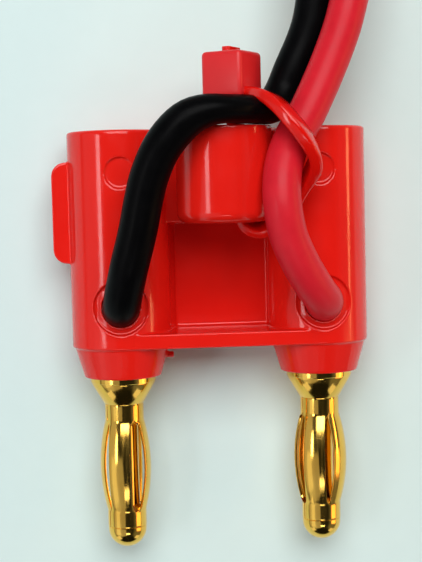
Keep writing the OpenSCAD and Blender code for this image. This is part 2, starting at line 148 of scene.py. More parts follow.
# Ways of the leads in millimetres, as x, y, z and the flattening of the section along Y
NEGATIVE_ROUTE = [
    (-9.4, -5.8, 10.6, 1), (-9.2, -4.7, 11.6, 1), (-8.9, -3.4, 12.4, 1), (-8.6, -2.1, 13.0, 1),
    (-7.8, 0.9, 13.6, 1), (-7.2, 3.7, 14.0, 1), (-6.6, 5.9, 14.4, 1), (-5.6, 8.1, 14.8, 1),
    (-4.3, 9.8, 15.0, 1), (-2.9, 10.95, 15.1, 0.93), (-1.3, 11.5, 15.0, 0.82), (0.3, 11.6, 14.6, 0.74),
    (2.0, 11.6, 13.6, 0.74), (3.5, 11.6, 11.7, 0.74), (4.85, 11.85, 9.3, 0.76), (6.1, 13.4, 8.2, 0.92),
    (7.1, 15.6, 8.2, 1), (8.2, 17.95, 8.2, 1), (8.9, 20, 8.3, 1), (9.3, 22.5, 8.4, 1), (9.6, 27, 8.4, 1),
    (9.8, 32, 7.0, 1), (9.85, 37, 4.1, 1), (9.85, 42, 2.35, 1), (9.85, 50, 2.35, 1), (9.85, 55, 2.35, 1),
]
POSITIVE_ROUTE = [
    (9.3, -5.9, 10.5, 1), (8.6, -5.1, 11.6, 1), (7.7, -3.8, 12.6, 1), (6.7, -2.1, 13.4, 1),
    (5.7, 0.2, 14.0, 1), (5.2, 2.8, 14.3, 1), (5.2, 5.0, 13.9, 1), (5.6, 7.0, 13.2, 1),
    (6.5, 9.0, 12.3, 1), (7.8, 11.1, 11.7, 1), (9.05, 13.5, 11.2, 1), (10.2, 16, 10.9, 1),
    (11.2, 18.5, 10.8, 1), (11.85, 20.6, 10.7, 1), (12.5, 23.2, 10.3, 1), (13.2, 27, 9.2, 1),
    (13.4, 32, 7.2, 1), (13.45, 37, 4.4, 1), (13.45, 42, 2.6, 1), (13.45, 50, 2.35, 1),
    (13.45, 55, 2.35, 1),
]

# The tie's head, and the way of its strap in millimetres: from the cut tail through the head and the guide,
# then round both leads to the strap's root
HEAD_MID = Vector((1.2, 14.83, 10.5)) * MM
HEAD_TURN = math.radians(-33)
STRAP_ACROSS = Vector((math.sin(HEAD_TURN), 0, math.cos(HEAD_TURN)))
STRAP_ROUTE = [
    (1.2, 17.4, 10.5), (1.2, 12.6, 10.5), (1.5, 10.4, 10.2), (1.85, 7.0, 9.9), (1.95, 3.6, 9.85),
    (1.95, 2.1, 9.85), (2.5, 1.08, 9.85), (3.6, 0.72, 9.85), (4.7, 1.1, 10.0), (5.6, 1.65, 10.2),
    (6.2, 2.6, 10.6), (6.8, 3.55, 11.2), (7.35, 4.65, 12.0), (7.95, 5.75, 12.95), (8.25, 6.6, 13.8),
    (8.1, 7.5, 14.5), (7.5, 8.5, 15.1), (6.7, 9.6, 15.4), (6.0, 10.5, 15.3), (5.3, 11.4, 14.9),
    (4.35, 12.4, 13.9), (3.35, 12.95, 12.6), (2.5, 13.15, 11.6),
]


def sizes():
    return bpy.context.scene.plug_sizes


def colours():
    return bpy.context.scene.plug_colours


def rgba(value):
    return (*value, 1.0)


def darker(tone, share):
    """A tone with that share of its light."""
    return [c * share for c in tone]


def leaf_ends():
    """Levels between which the leaves of a spring run."""
    return SPRING_LOW + sizes().lower_band, SPRING_HIGH - sizes().upper_band


def share_of(value, low, high):
    """How far a value lies from low to high, held between 0 and 1."""
    return min(max((value - low) / (high - low), 0), 1)


def between(p, q, share):
    """The point that lies a share of the way from p to q."""
    return [m + (n - m) * share for m, n in zip(p, q)]


def distance(p, q):
    return (Vector(q[:3]) - Vector(p[:3])).length


# Shaping helpers
def start_fresh():
    """Leaves edit mode with nothing selected, so the next operator meets only its own piece."""
    if bpy.context.object and bpy.context.object.mode != "OBJECT":
        bpy.ops.object.mode_set(mode="OBJECT")
    bpy.ops.object.select_all(action="DESELECT")


def activate(piece):
    start_fresh()
    piece.select_set(True)
    bpy.context.view_layer.objects.active = piece


def apply_modifier(piece, kind, **settings):
    activate(piece)
    modifier = piece.modifiers.new(kind.title(), kind)
    for name, value in settings.items():
        setattr(modifier, name, value)
    bpy.ops.object.modifier_apply(modifier=modifier.name)


def recalculate(piece, merge=None):
    """Closes doubles and turns all faces outwards."""
    activate(piece)
    bpy.ops.object.mode_set(mode="EDIT")
    bpy.ops.mesh.select_all(action="SELECT")
    if merge:
        bpy.ops.mesh.remove_doubles(threshold=merge)
    bpy.ops.mesh.normals_make_consistent(inside=False)
    bpy.ops.object.mode_set(mode="OBJECT")


def smooth(piece, degrees):
    activate(piece)
    bpy.ops.object.shade_smooth_by_angle(angle=math.radians(degrees))


def dress(piece, name, material, slot, *nodes):
    """Names a finished piece, gives it a finish where one is passed, and lets it stand for its CAD nodes."""
    piece.name = name
    piece.data.name = name
    if material:
        piece.data.materials.append(material)
    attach(piece, BODY)
    if nodes:
        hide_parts(*nodes)
    return piece


def spline_points(points, step):
    """Even points on a smooth curve through the given ones, each a list of numbers."""
    fine = []
    last = len(points) - 1
    for i in range(last):
        a, b, c, d = (points[min(max(k, 0), last)] for k in (i - 1, i, i + 1, i + 2))
        for s in range(CURVE_STEPS):
            t = s / CURVE_STEPS
            fine.append([
                0.5 * (2 * q + (r - p) * t + (2 * p - 5 * q + 4 * r - u) * t ** 2
                       + (3 * q - p - 3 * r + u) * t ** 3)
                for p, q, r, u in zip(a, b, c, d)])
    fine.append(list(points[-1]))
    return even_points(fine, step)


def even_points(fine, step):
    """Points a fixed step apart along a fine polyline, ends kept."""
    even, travelled = [fine[0]], 0.0
    for p, q in zip(fine, fine[1:]):
        gap = distance(p, q)
        while gap > 0 and travelled + gap >= step:
            share = (step - travelled) / gap
            p = between(p, q, share)
            even.append(p)
            gap *= 1 - share
            travelled = 0.0
        travelled += gap
    if travelled > step / 2:
        even.append(fine[-1])
    else:
        even[-1] = fine[-1]
    return even


def bridged(name, rings, capped=True):
    """A piece over rings of points, each joined to the next. Its ends are capped, or else its last ring
    meets its first."""
    vertices = [point for ring in rings for point in ring]
    sides, total, faces = len(rings[0]), len(vertices), []
    for i in range(len(rings) - 1 if capped else len(rings)):
        for k in range(sides):
            a, b = i * sides + k, i * sides + (k + 1) % sides
            faces.append((a, b, (b + sides) % total, (a + sides) % total))
    if capped:
        faces.append(tuple(reversed(range(sides))))
        faces.append(tuple(range(total - sides, total)))
    mesh = bpy.data.meshes.new(name)
    mesh.from_pydata(vertices, [], faces)
    piece = bpy.data.objects.new(name, mesh)
    bpy.context.scene.collection.objects.link(piece)
    recalculate(piece)
    return piece


def swept(name, path, outline, across, flatten=None, thicken=None):
    """A closed skin: the outline, in (across, beside) coordinates, carried along the path."""
    rings, side = [], across
    for i, centre in enumerate(path):
        ahead = (path[min(i + 1, len(path) - 1)] - path[max(i - 1, 0)]).normalized()
        side = (side - side.dot(ahead) * ahead).normalized()
        beside = ahead.cross(side) * (thicken[i] if thicken else 1)
        ring = []
        for u, v in outline:
            offset = u * side + v * beside
            if flatten:
                offset.y *= flatten[i]
            ring.append(centre + offset)
        rings.append(ring)
    return bridged(name, rings)


def circle(radius, sides):
    return [(radius * math.cos(2 * math.pi * k / sides), radius * math.sin(2 * math.pi * k / sides))
            for k in range(sides)]


def lathe(name, x, z, profile, segments=96):
    """A turned piece about an axis along Y: a ring is extruded and resized from point to point of the
    profile, which lists (radius, y) from one end to the other."""
    start_fresh()
    radius, y = profile[0]
    bpy.ops.mesh.primitive_circle_add(
        vertices=segments, radius=radius, fill_type="NGON", location=(x, y, z), rotation=(math.pi / 2, 0, 0))
    piece = bpy.context.object
    bpy.ops.object.transform_apply(location=True, rotation=True, scale=True)
    bpy.ops.object.mode_set(mode="EDIT")
    bpy.ops.mesh.select_all(action="SELECT")
    for new_radius, new_y in profile[1:]:
        bpy.ops.mesh.extrude_region_move(TRANSFORM_OT_translate={"value": (0, new_y - y, 0)})
        share = new_radius / radius
        bpy.ops.transform.resize(value=(share, 1, share), center_override=(x, new_y, z))
        radius, y = new_radius, new_y
    bpy.ops.mesh.select_all(action="SELECT")
    bpy.ops.mesh.normals_make_consistent(inside=False)
    bpy.ops.object.mode_set(mode="OBJECT")
    piece.name = name
    return piece


# Finishes
def add_node(tree, kind, sockets=None, **settings):
    """Adds a node with its settings, and sets or links its inputs."""
    node = tree.nodes.new(kind)
    for name, value in settings.items():
        setattr(node, name, value)
    for name, value in (sockets or {}).items():
        if isinstance(value, bpy.types.NodeSocket):
            tree.links.new(value, node.inputs[name])
        else:
            node.inputs[name].default_value = value
    return node


def new_finish(name):
    """An empty material: its tree, its shader and the object's own coordinates."""
    material = bpy.data.materials.new(name)
    material.use_nodes = True
    tree = material.node_tree
    shader = tree.nodes["Principled BSDF"]
    place = add_node(tree, "ShaderNodeTexCoord").outputs["Object"]
    return material, tree, shader, place


def per_metre(millimetres):
    """Texture scale for a pattern whose features are that far apart."""
    return 1 / (millimetres * MM)


def moulded_abs():
    """Injection-moulded ABS: a deep, almost even red with a wet gloss that clouds a little where the melt
    flowed, and a slight orange peel."""
    material, tree, shader, place = new_finish("moulded_abs")
    flow = add_node(tree, "ShaderNodeTexNoise", {"Vector": place, "Scale": per_metre(7), "Detail": 3.0})
    red = add_node(tree, "ShaderNodeMix", {
        MIX_SHARE: flow.outputs["Fac"], MIX_FIRST: rgba(colours().abs_deep),
        MIX_SECOND: rgba(colours().abs_red)}, data_type="RGBA")
    tree.links.new(red.outputs[MIX_COLOUR], shader.inputs["Base Color"])
    gloss = add_node(tree, "ShaderNodeTexNoise", {"Vector": place, "Scale": per_metre(1.6), "Detail": 4.0})
    rough = add_node(tree, "ShaderNodeMapRange", {
        "Value": gloss.outputs["Fac"], "From Min": 0.3, "From Max": 0.7, "To Min": 0.1, "To Max": 0.18})
    tree.links.new(rough.outputs["Result"], shader.inputs["Roughness"])
    peel = add_node(tree, "ShaderNodeTexNoise", {"Vector": place, "Scale": per_metre(0.9), "Detail": 2.0})
    bump = add_node(tree, "ShaderNodeBump", {
        "Height": peel.outputs["Fac"], "Strength": 0.25, "Distance": 0.02 * MM})
    tree.links.new(bump.outputs["Normal"], shader.inputs["Normal"])
    shader.inputs["IOR"].default_value = 1.53
    shader.inputs["Specular IOR Level"].default_value = 0.35
    return material


def gold_plate(name, wear):
    """Bright gold over turned or rolled brass: mirror-like and warm, with fine turning rings across the axis,
    plating that is a little deeper in places, and hair scratches along the pin where sockets rub it. Rings
    and scratches are drawn coarser than real ones, so that they show."""
    material, tree, shader, place = new_finish(name)
    patch = add_node(tree, "ShaderNodeTexNoise", {"Vector": place, "Scale": per_metre(2.5), "Detail": 3.0})
    plate = add_node(tree, "ShaderNodeMix", {
        MIX_SHARE: patch.outputs["Fac"], MIX_FIRST: rgba(colours().gold_deep),
        MIX_SECOND: rgba(colours().gold)}, data_type="RGBA")
    tree.links.new(plate.outputs[MIX_COLOUR], shader.inputs["Base Color"])
    # one ring is a full turn of 2 pi, so rings of 0.14 mm for each radian lie 0.88 mm apart
    rings = add_node(tree, "ShaderNodeTexWave", {
        "Vector": place, "Scale": per_metre(0.14) / WAVE_RADIANS, "Distortion": 1.0, "Detail": 1.0},
        wave_type="BANDS", bands_direction="Y")
    bump = add_node(tree, "ShaderNodeBump", {
        "Height": rings.outputs["Fac"], "Strength": 0.08, "Distance": 0.01 * MM})
    tree.links.new(bump.outputs["Normal"], shader.inputs["Normal"])
    along = add_node(tree, "ShaderNodeMapping", {"Vector": place, "Scale": (1, 0.08, 1)})
    scratch = add_node(tree, "ShaderNodeTexNoise", {
        "Vector": along.outputs["Vector"], "Scale": per_metre(0.25), "Detail": 4.0})
    rough = add_node(tree, "ShaderNodeMapRange", {
        "Value": scratch.outputs["Fac"], "From Min": 0.35, "From Max": 0.7,
        "To Min": 0.1, "To Max": 0.1 + wear})
    tree.links.new(rough.outputs["Result"], shader.inputs["Roughness"])
    shader.inputs["Metallic"].default_value = 1.0
    return material


def silicone(name, tone, sheen):
    """Extruded silicone rubber: soft satin skin with a broad highlight, faintly dusty."""
    material, tree, shader, place = new_finish(name)
    dust = add_node(tree, "ShaderNodeTexNoise", {"Vector": place, "Scale": per_metre(1.2), "Detail": 6.0})
    rough = add_node(tree, "ShaderNodeMapRange", {
        "Value": dust.outputs["Fac"], "From Min": 0.3, "From Max": 0.7, "To Min": 0.3, "To Max": 0.4})
    tree.links.new(rough.outputs["Result"], shader.inputs["Roughness"])
    dusty = [min(1, c * 1.08 + 0.001) for c in tone]
    rubber = add_node(tree, "ShaderNodeMix", {
        MIX_SHARE: dust.outputs["Fac"], MIX_FIRST: rgba(darker(tone, 0.9)), MIX_SECOND: rgba(dusty)},
        data_type="RGBA")
    tree.links.new(rubber.outputs[MIX_COLOUR], shader.inputs["Base Color"])
    skin = add_node(tree, "ShaderNodeTexNoise", {"Vector": place, "Scale": per_metre(0.35), "Detail": 2.0})
    bump = add_node(tree, "ShaderNodeBump", {
        "Height": skin.outputs["Fac"], "Strength": 0.12, "Distance": 0.02 * MM})
    tree.links.new(bump.outputs["Normal"], shader.inputs["Normal"])
    shader.inputs["IOR"].default_value = 1.42
    shader.inputs["Specular IOR Level"].default_value = sheen
    return material


def nylon(name, tone, roughness):
    """Nylon: a little milky, with a fine grain from the spark-eroded mould that leaves a moulded head satin,
    while a drawn strap is glossy and deeper in colour. The grain is coarser than a real one, so that it
    shows."""
    material, tree, shader, place = new_finish(name)
    grain = add_node(tree, "ShaderNodeTexNoise", {"Vector": place, "Scale": per_metre(0.22), "Detail": 3.0})
    bump = add_node(tree, "ShaderNodeBump", {
        "Height": grain.outputs["Fac"], "Strength": 0.3, "Distance": 0.02 * MM})
    tree.links.new(bump.outputs["Normal"], shader.inputs["Normal"])
    cloud = add_node(tree, "ShaderNodeTexNoise", {"Vector": place, "Scale": per_metre(2), "Detail": 2.0})
    milky = add_node(tree, "ShaderNodeMix", {
        MIX_SHARE: cloud.outputs["Fac"], MIX_FIRST: rgba(darker(tone, 0.92)), MIX_SECOND: rgba(tone)},
        data_type="RGBA")
    tree.links.new(milky.outputs[MIX_COLOUR], shader.inputs["Base Color"])
    shader.inputs["Roughness"].default_value = roughness
    shader.inputs["Specular IOR Level"].default_value = 0.4
    return material


def plain_metal(name, tone, roughness):
    """Small inner metal pieces: dull, with fine uneven tarnish."""
    material, tree, shader, place = new_finish(name)
    tarnish = add_node(tree, "ShaderNodeTexNoise", {"Vector": place, "Scale": per_metre(0.6), "Detail": 4.0})
    metal = add_node(tree, "ShaderNodeMix", {
        MIX_SHARE: tarnish.outputs["Fac"], MIX_FIRST: rgba(darker(tone, 0.8)), MIX_SECOND: rgba(tone)},
        data_type="RGBA")
    tree.links.new(metal.outputs[MIX_COLOUR], shader.inputs["Base Color"])
    shader.inputs["Metallic"].default_value = 1.0
    shader.inputs["Roughness"].default_value = roughness
    return material


def pale_paper():
    """Uncoated paper: matt and pale, with faint clouds of fibre."""
    material, tree, shader, place = new_finish("pale_paper")
    tone = colours().paper
    fibre = add_node(tree, "ShaderNodeTexNoise", {"Vector": place, "Scale": per_metre(2), "Detail": 5.0})
    sheet = add_node(tree, "ShaderNodeMix", {
        MIX_SHARE: fibre.outputs["Fac"], MIX_FIRST: rgba(darker(tone, 0.97)), MIX_SECOND: rgba(tone)},
        data_type="RGBA")
    tree.links.new(sheet.outputs[MIX_COLOUR], shader.inputs["Base Color"])
    shader.inputs["Roughness"].default_value = 0.7
    return material


FINISHES = {}


def finish(name):
    """Each finish is made once, when a piece first needs it."""
    makers = {
        "moulded_abs": moulded_abs,
        "gold_plate": lambda: gold_plate("gold_plate", 0.04),
        "worn_gold_plate": lambda: gold_plate("worn_gold_plate", 0.1),
        "black_silicone": lambda: silicone("black_silicone", colours().silicone_black, 0.05),
        "red_silicone": lambda: silicone("red_silicone", colours().silicone_red, 0.2),
        "moulded_nylon": lambda: nylon("moulded_nylon", colours().nylon_red, 0.34),
        "drawn_nylon": lambda: nylon("drawn_nylon", colours().strap_red, 0.13),
        "blackened_steel": lambda: plain_metal("blackened_steel", colours().steel, 0.42),
        "tinned_wire": lambda: plain_metal("tinned_wire", colours().tin, 0.35),
        "pale_paper": pale_paper,
    }
    if name not in FINISHES:
        FINISHES[name] = makers[name]()
    return FINISHES[name]


class PLUG_OT_stage(bpy.types.Operator):
    """Sets the camera above the plug, a pale floor and soft studio light"""

    bl_idname = "banana_plug.stage"
    bl_label = "Stage"

    camera_place = Vector((-8.385, 4.602, 129.86)) * MM
    camera_turns = (0.0709, 0.0605, 0.0248)
    focal_pixels = 1300.9
    sensor = 36.0
    floor_size = 3
    floor_drop = 0.02 * MM
    # colours of the room and the lamps
    room, white, warm = "#f2f8f8", "#ffffff", "#ffc080"

    def execute(self, context):
        scene = context.scene
        scene.view_settings.view_transform = "Standard"
        pitch, roll, turn = self.camera_turns
        to_camera = (Matrix.Rotation(turn, 3, "Z") @ Matrix.Rotation(pitch, 3, "X")
                     @ Matrix.Rotation(roll, 3, "Y"))
        data = bpy.data.cameras.new("camera")
        data.sensor_width = self.sensor
        data.lens = self.focal_pixels * self.sensor / IMAGE_H
        data.clip_start = 0.01
        camera = bpy.data.objects.new("camera", data)
        camera.matrix_world = Matrix.Translation(self.camera_place) @ to_camera.transposed().to_4x4()
        scene.collection.objects.link(camera)
        scene.camera = camera
        self.floor()
        self.room_light(scene)
        self.lamps(scene)
        return {"FINISHED"}

    def floor(self):
        start_fresh()
        bpy.ops.mesh.primitive_plane_add(size=self.floor_size, location=(0, 0, -self.floor_drop))
        floor = bpy.context.object
        floor.name = "floor"
        floor.data.materials.append(finish("pale_paper"))

    def room_light(self, scene):
        """A room that is pale round the horizon, dark overhead, where the camera is, and dark in front."""
        world = bpy.data.worlds.new("studio")
        scene.world = world
        world.use_nodes = True
        tree = world.node_tree
        way = add_node(tree, "ShaderNodeTexCoord").outputs["Generated"]
        parts = add_node(tree, "ShaderNodeSeparateXYZ", {"Vector": way}).outputs
        overhead = add_node(tree, "ShaderNodeMapRange", {
            "Value": parts["Z"], "From Min": 0.6, "From Max": 0.8, "To Min": 0.19, "To Max": 0.02})
        front = add_node(tree, "ShaderNodeMapRange", {
            "Value": parts["Y"], "From Min": -0.75, "From Max": -0.35, "To Min": 0.06, "To Max": 1.0})
        aside = add_node(tree, "ShaderNodeMath", {0: parts["X"]}, operation="ABSOLUTE")
        beside = add_node(tree, "ShaderNodeMapRange", {
            "Value": aside.outputs["Value"], "From Min": 0.42, "From Max": 0.55,
            "To Min": 0.06, "To Max": 1.0})
        open_part = add_node(tree, "ShaderNodeMath", {
            0: front.outputs["Result"], 1: beside.outputs["Result"]}, operation="MAXIMUM")
        level = add_node(tree, "ShaderNodeMath", {
            0: overhead.outputs["Result"], 1: open_part.outputs["Value"]}, operation="MULTIPLY")
        shader = tree.nodes["Background"]
        shader.inputs["Color"].default_value = rgba(hex_colour(self.room))
        tree.links.new(level.outputs["Value"], shader.inputs["Strength"])

    def lamps(self, scene):
        """Area lamps that all face the plug, with warm ones on the right. The wall and the low cards are dim
        and only give the gloss and the gold something to mirror."""
        white, warm = self.white, self.warm
        # name, place and size in metres, power in watts, colour
        lamps = [
            ("left_strip", (-0.273, -0.01, 0.293), (0.055, 0.12), 0.145, white),
            ("right_strip", (0.383, 0.03, 0.118), (0.03, 0.20), 0.2, warm),
            ("window", (0.0, 0.197, 0.371), (0.36, 0.265), 1.6, white),
            ("left_panel", (-0.232, -0.184, 0.268), (0.40, 0.28), 0.13, white),
            ("right_panel", (0.36, -0.11, 0.13), (0.20, 0.11), 0.16, warm),
            ("left_wall", (-0.36, -0.06, 0.17), (0.26, 0.44), 0.12, white),
            ("front_lamp", (0.0, -0.22, 0.34), (0.14, 0.05), 0.07, white),
            ("left_card", (-0.19, -0.25, 0.05), (0.13, 0.09), 0.026, white),
            ("right_card", (0.19, -0.25, 0.05), (0.13, 0.09), 0.026, white),
        ]
        for name, place, (width, height), power, tint in lamps:
            data = bpy.data.lights.new(name, "AREA")
            data.shape = "RECTANGLE"
            data.color = hex_colour(tint)
            data.size, data.size_y, data.energy = width, height, power
            lamp = bpy.data.objects.new(name, data)
            back = Vector(place).normalized()
            up = (Vector((0, 1, 0)) - back.y * back).normalized()
            turn = Matrix((up.cross(back), up, back)).transposed()
            lamp.matrix_world = Matrix.Translation(place) @ turn.to_4x4()
            scene.collection.objects.link(lamp)


class PLUG_OT_leads(bpy.types.Operator):
    """Lays both silicone leads from the wire entries through the tie to their coil"""

    bl_idname = "banana_plug.leads"
    bl_label = "Leads"

    ring_step = 0.6 * MM
    sides = 28
    # levels up to which a lead stands straight in its entry
    straight_levels = (8.6 * MM, 9.3 * MM)
    # the coil's points, the degrees between them, and the angles between which the lead climbs a layer
    coil_count = 200
    coil_degrees = 3
    climb = (math.radians(220), math.radians(305))
    # the tinned tip: rows along it, points round it, its strands, and their twist over its length in radians
    tip_rows = 40
    tip_around = 42
    strands = 7
    twist = 3.5
    # shares of the tip's radius that the strands' grooves take and its end keeps, and of its length that is
    # rounded off
    groove = 0.07
    tip_end = 0.02
    tip_round = 0.07
    # how far the tip starts inside the insulation
    tip_root = 0.5 * MM

    def coil_points(self, radius):
        """Two layers of turns, the second reached by a long low climb."""
        low = COIL_LOW.z + sizes().lead_d / 2
        points = []
        for k in range(self.coil_count):
            angle = math.radians(self.coil_degrees * k)
            share = share_of(angle, *self.climb)
            rise = sizes().lead_d * share * share * (3 - 2 * share)
            x, y = COIL_CENTRE.x + radius * math.cos(angle), COIL_CENTRE.y + radius * math.sin(angle)
            points.append((x, y, low + rise, 1))
        return points

    def trimmed(self, points):
        """The points up to the lead's real length."""
        kept, travelled = [points[0]], 0.0
        for p, q in zip(points, points[1:]):
            gap = distance(p, q)
            if travelled + gap >= sizes().lead_length:
                kept.append(between(p, q, (sizes().lead_length - travelled) / gap))
                return kept
            kept.append(q)
            travelled += gap
        raise RuntimeError("the coil is too short for the lead")

    def execute(self, context):
        radius = (COIL_HIGH.x - COIL_LOW.x) / 2 - sizes().lead_d / 2
        plans = [
            ("negative", NEGATIVE_ROUTE, radius, "black_silicone"),
            ("positive", POSITIVE_ROUTE, radius + sizes().coil_step, "red_silicone"),
        ]
        for side, route, turn, material in plans:
            x = SIDES[side]
            entry = [(x, ENTRY_Y, level, 1) for level in (INSULATION_Z, *self.straight_levels)]
            seen = [(px * MM, py * MM, pz * MM, flat) for px, py, pz, flat in route]
            points = self.trimmed(spline_points(entry + seen + self.coil_points(turn), self.ring_step))
            path = [Vector(p[:3]) for p in points]
            lead = swept(f"{side}_lead_skin", path, circle(sizes().lead_d / 2, self.sides),
                         Vector((1, 0, 1)), [p[3] for p in points])
            smooth(lead, degrees=50)
            dress(lead, f"{side}_lead_skin", finish(material), material, f"{side}_lead", f"{side}_coil")
            tip = self.tinned_tip(side, path)
        return {"FINISHED"}

    def tinned_tip(self, side, path):
        """The stripped, twisted and tinned wire: a lobed section that turns as it goes."""
        ahead = (path[-1] - path[-4]).normalized()
        side_way = ahead.cross(Vector((0, 0, 1))).normalized()
        up = side_way.cross(ahead)
        radius, rings = sizes().conductor_d / 2, []
        for i in range(self.tip_rows + 1):
            share = i / self.tip_rows
            centre = path[-1] + ahead * (share * sizes().strip_length - self.tip_root)
            rounded = share_of(share, 1 - self.tip_round, 1)
            end = math.sqrt(1 - rounded ** 2) * (1 - self.tip_end) + self.tip_end
            ring = []
            for k in range(self.tip_around):
                angle = 2 * math.pi * k / self.tip_around
                ridge = abs(math.cos(self.strands * (angle - self.twist * share) / 2))
                lobe = radius * (1 - self.groove + self.groove * ridge)
                ring.append(centre + end * lobe * (math.cos(angle) * side_way + math.sin(angle) * up))
            rings.append(ring)
        tip = bridged(f"{side}_tinned_tip", rings)
        smooth(tip, degrees=40)
        return dress(tip, f"{side}_tinned_tip", finish("tinned_wire"), "tinned_copper")


class PLUG_OT_coil_band(bpy.types.Operator):
    """Straps the coil of the leads with one flat nylon band"""

    bl_idname = "banana_plug.coil_band"
    bl_label = "Coil Band"

    # share of the band's thickness by which its edges are rounded
    edge_share = 0.35

    def execute(self, context):
        low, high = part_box("coil_tie")
        thick = sizes().tie_band_t
        start_fresh()
        bpy.ops.mesh.primitive_cube_add(size=1, location=(low + high) / 2)
        band = context.object
        band.scale = high - low
        bpy.ops.object.transform_apply(location=True, rotation=False, scale=True)
        bpy.ops.object.mode_set(mode="EDIT")
        bpy.ops.mesh.select_mode(type="FACE")
        self.pick_ends(band)
        bpy.ops.mesh.inset(thickness=thick, use_individual=True)
        bpy.ops.mesh.bridge_edge_loops()
        bpy.ops.object.mode_set(mode="OBJECT")
        apply_modifier(band, "BEVEL", width=thick * self.edge_share, segments=3, limit_method="ANGLE")
        recalculate(band)
        smooth(band, degrees=40)
        dress(band, "coil_tie_band", finish("moulded_nylon"), "red_nylon", "coil_tie")
        return {"FINISHED"}

    def pick_ends(self, band):
        """Selects the two faces that look along the coil's turns."""
        bpy.ops.mesh.select_all(action="DESELECT")
        bpy.ops.object.mode_set(mode="OBJECT")
        for face in band.data.polygons:
            face.select = abs(face.normal.x) > 0.9
        bpy.ops.object.mode_set(mode="EDIT")


class PLUG_OT_housing(bpy.types.Operator):
    """Rounds the edges of the moulded body as its mould does, and lays a floor round each wire entry"""

    bl_idname = "banana_plug.housing"
    bl_label = "Housing"

    # the floor round a wire entry: its radius, its gap to the lead, its step below the boss's skin, the depth
    # to which it is rooted in the body, and the steps round it
    entry_r = 2.6 * MM
    entry_gap = 0.05 * MM
    entry_step = 0.3 * MM
    entry_root = 1.3 * MM
    entry_count = 64
    # the merge of doubles, the rounds that smooth the grid and the share of its faces that is kept
    weld = 0.002 * MM
    smooth_rounds = 5
    kept_share = 0.18

    def entry_floor(self, x):
        """The floor round a wire entry: a ring that follows the boss a fine step below its skin."""
        floor_r = BOSS_FRONT - AXIS_Z - self.entry_step
        inner, outer = sizes().lead_d / 2 + self.entry_gap, self.entry_r
        sections = []
        for k in range(self.entry_count):
            angle = 2 * math.pi * k / self.entry_count
            section = []
            for radius, raised in ((inner, False), (outer, False), (outer, True), (inner, True)):
                across, along = radius * math.cos(angle), radius * math.sin(angle)
                level = BOSS_FRONT - self.entry_root
                if raised:
                    level = AXIS_Z + math.sqrt(floor_r ** 2 - across ** 2)
                section.append((x + across, ENTRY_Y + along, level))
            sections.append(section)
        return bridged("entry_floor", sections, capped=False)

    def execute(self, context):
        start_fresh()
        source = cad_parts["housing"]
        body = bpy.data.objects.new("housing_moulding", source.data.copy())
        body.data.materials.clear()
        context.scene.collection.objects.link(body)
        floors = [self.entry_floor(x) for x in SIDES.values()]
        activate(body)
        for floor in floors:
            floor.select_set(True)
        bpy.ops.object.join()
        recalculate(body, merge=self.weld)
        apply_modifier(body, "REMESH", mode="VOXEL", voxel_size=sizes().edge_round)
        apply_modifier(body, "SMOOTH", factor=0.5, iterations=self.smooth_rounds)
        apply_modifier(body, "DECIMATE", ratio=self.kept_share)
        smooth(body, degrees=60)
        dress(body, "housing_moulding", finish("moulded_abs"), "red_moulding", "housing")
        return {"FINISHED"}


class PLUG_OT_contacts(bpy.types.Operator):
    """Turns the two gold-plated contacts"""

    bl_idname = "banana_plug.contacts"
    bl_label = "Contacts"

    # degrees of the points on the tip's dome
    dome_degrees = range(-86, 1, 7)
    # eased edges, and the slopes between the lands and the core
    ease = 0.08 * MM
    run = 0.5 * MM
    # the stack socket in the barrel's end, its chamfered mouth and the point in its floor
    socket_r = 2.05 * MM
    socket_depth = 10.8 * MM
    mouth_r = 2.35 * MM
    mouth_depth = 0.3 * MM
    floor_r = 0.2 * MM

    def profile(self):
        """Radius and level of the turned outline, from the rounded tip to the barrel's mouth."""
        s = sizes()
        tip_mid = CONTACT_LOW + s.tip_r
        dome = [(s.tip_r * math.cos(math.radians(a)), tip_mid + s.tip_r * math.sin(math.radians(a)))
                for a in self.dome_degrees]
        leaf_low, leaf_top = leaf_ends()
        rim_low = SPRING_HIGH + s.cone_len
        socket_floor = CONTACT_HIGH - self.socket_depth
        ease = self.ease
        return dome + [
            (s.tip_r, SPRING_LOW - ease), (s.tip_r - ease, SPRING_LOW), (s.land_r, SPRING_LOW),
            (s.land_r, leaf_low), (s.core_r, leaf_low + self.run), (s.core_r, leaf_top - self.run),
            (s.land_r, leaf_top), (s.land_r, SPRING_HIGH), (s.band_r, SPRING_HIGH),
            (s.band_r + ease, SPRING_HIGH + ease),
            (s.barrel_r - ease, rim_low - ease / 2), (s.barrel_r - ease, rim_low + ease),
            (s.barrel_r - ease / 2, rim_low + ease), (s.barrel_r, rim_low + 1.5 * ease),
            (s.barrel_r, rim_low + s.rim_len - ease), (s.barrel_r, CONTACT_HIGH - ease),
            (s.barrel_r - ease, CONTACT_HIGH), (self.mouth_r, CONTACT_HIGH),
            (self.socket_r, CONTACT_HIGH - self.mouth_depth),
            (self.socket_r, socket_floor), (self.floor_r, socket_floor),
        ]

    def execute(self, context):
        for side, x in SIDES.items():
            contact = lathe(f"{side}_contact_turned", x, AXIS_Z, self.profile())
            smooth(contact, degrees=32)
            dress(contact, f"{side}_contact_turned", finish("gold_plate"),
                  "gold_plated_brass", f"{side}_contact")
        return {"FINISHED"}


